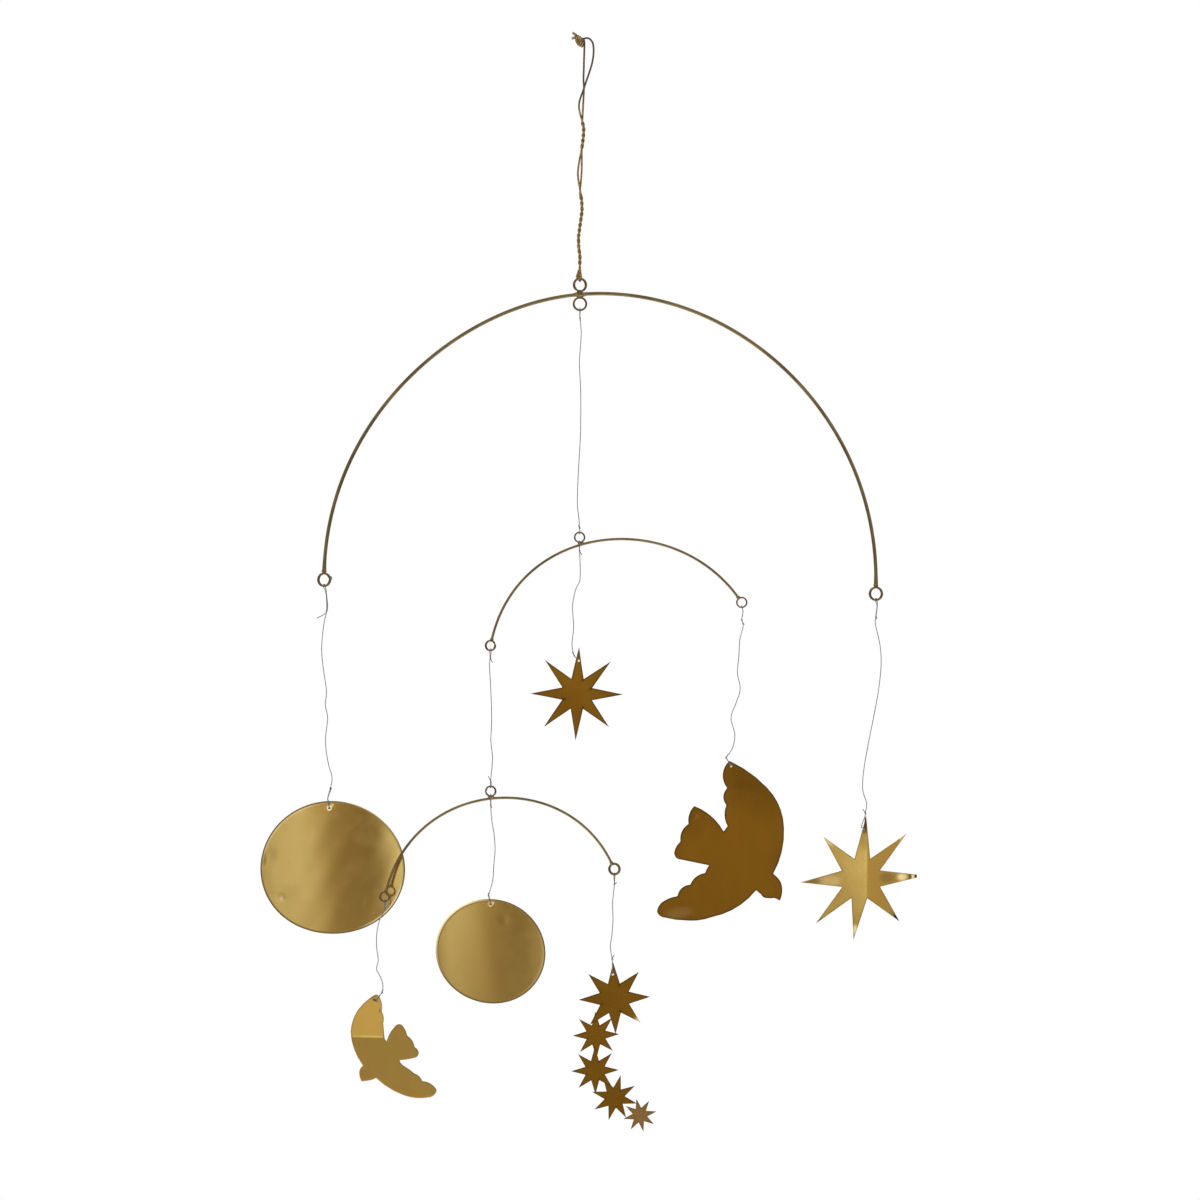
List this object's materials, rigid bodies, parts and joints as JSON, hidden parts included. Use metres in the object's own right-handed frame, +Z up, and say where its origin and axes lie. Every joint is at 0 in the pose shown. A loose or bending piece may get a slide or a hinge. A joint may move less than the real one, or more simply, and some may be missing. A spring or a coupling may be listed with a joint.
{
  "type": "hanging mobile sculpture",
  "caption": "Brass hanging mobile with bent wire arms that carry discs, stars and birds on threads below a twisted gold cord",
  "frame": {"origin": "inside the crown of the hanging cord's loop, where a hook or nail carries the mobile", "axes": "+X to the viewer's right across the arms, -Y towards the viewer, +Z up"},
  "size_m": [0.4076, 0.0436, 0.6856],
  "materials": {
    "gold_cord": "twisted metallic yarn, dull gold",
    "thread": "thin pale grey thread",
    "ring_wire": "dull bronze, oxidised by the solder flame",
    "arm_wire": "aged satin brass",
    "disc_sheet": "satin with soft reflections",
    "bright_sheet": "satin, bright",
    "dark_sheet": "dark golden brown, lacquered"
  },
  "bodies": {
    "root": {"hanging_cord": "gold_cord", "cord_knot": "gold_cord", "top_arm": "arm_wire", "top_arm_hanging_ring": "ring_wire", "top_arm_lower_ring": "ring_wire", "top_arm_left_ring": "ring_wire", "top_arm_right_ring": "ring_wire", "middle_arm": "arm_wire", "middle_arm_hanging_ring": "ring_wire", "middle_arm_left_ring": "ring_wire", "middle_arm_right_ring": "ring_wire", "lower_arm": "arm_wire", "lower_arm_hanging_ring": "ring_wire", "lower_arm_left_ring": "ring_wire", "lower_arm_right_ring": "ring_wire", "large_disc": "disc_sheet", "small_disc": "disc_sheet", "centre_star": "dark_sheet", "right_star": "bright_sheet", "large_bird": "dark_sheet", "small_bird": "bright_sheet", "chain_star_1": "dark_sheet", "chain_star_2": "dark_sheet", "chain_star_3": "dark_sheet", "chain_star_4": "dark_sheet", "chain_star_5": "dark_sheet", "middle_arm_thread": "thread", "lower_arm_thread": "thread", "centre_star_thread": "thread", "large_disc_thread": "thread", "right_star_thread": "thread", "large_bird_thread": "thread", "small_disc_thread": "thread", "small_bird_thread": "thread", "star_chain_thread": "thread"}
  },
  "joints": []
}
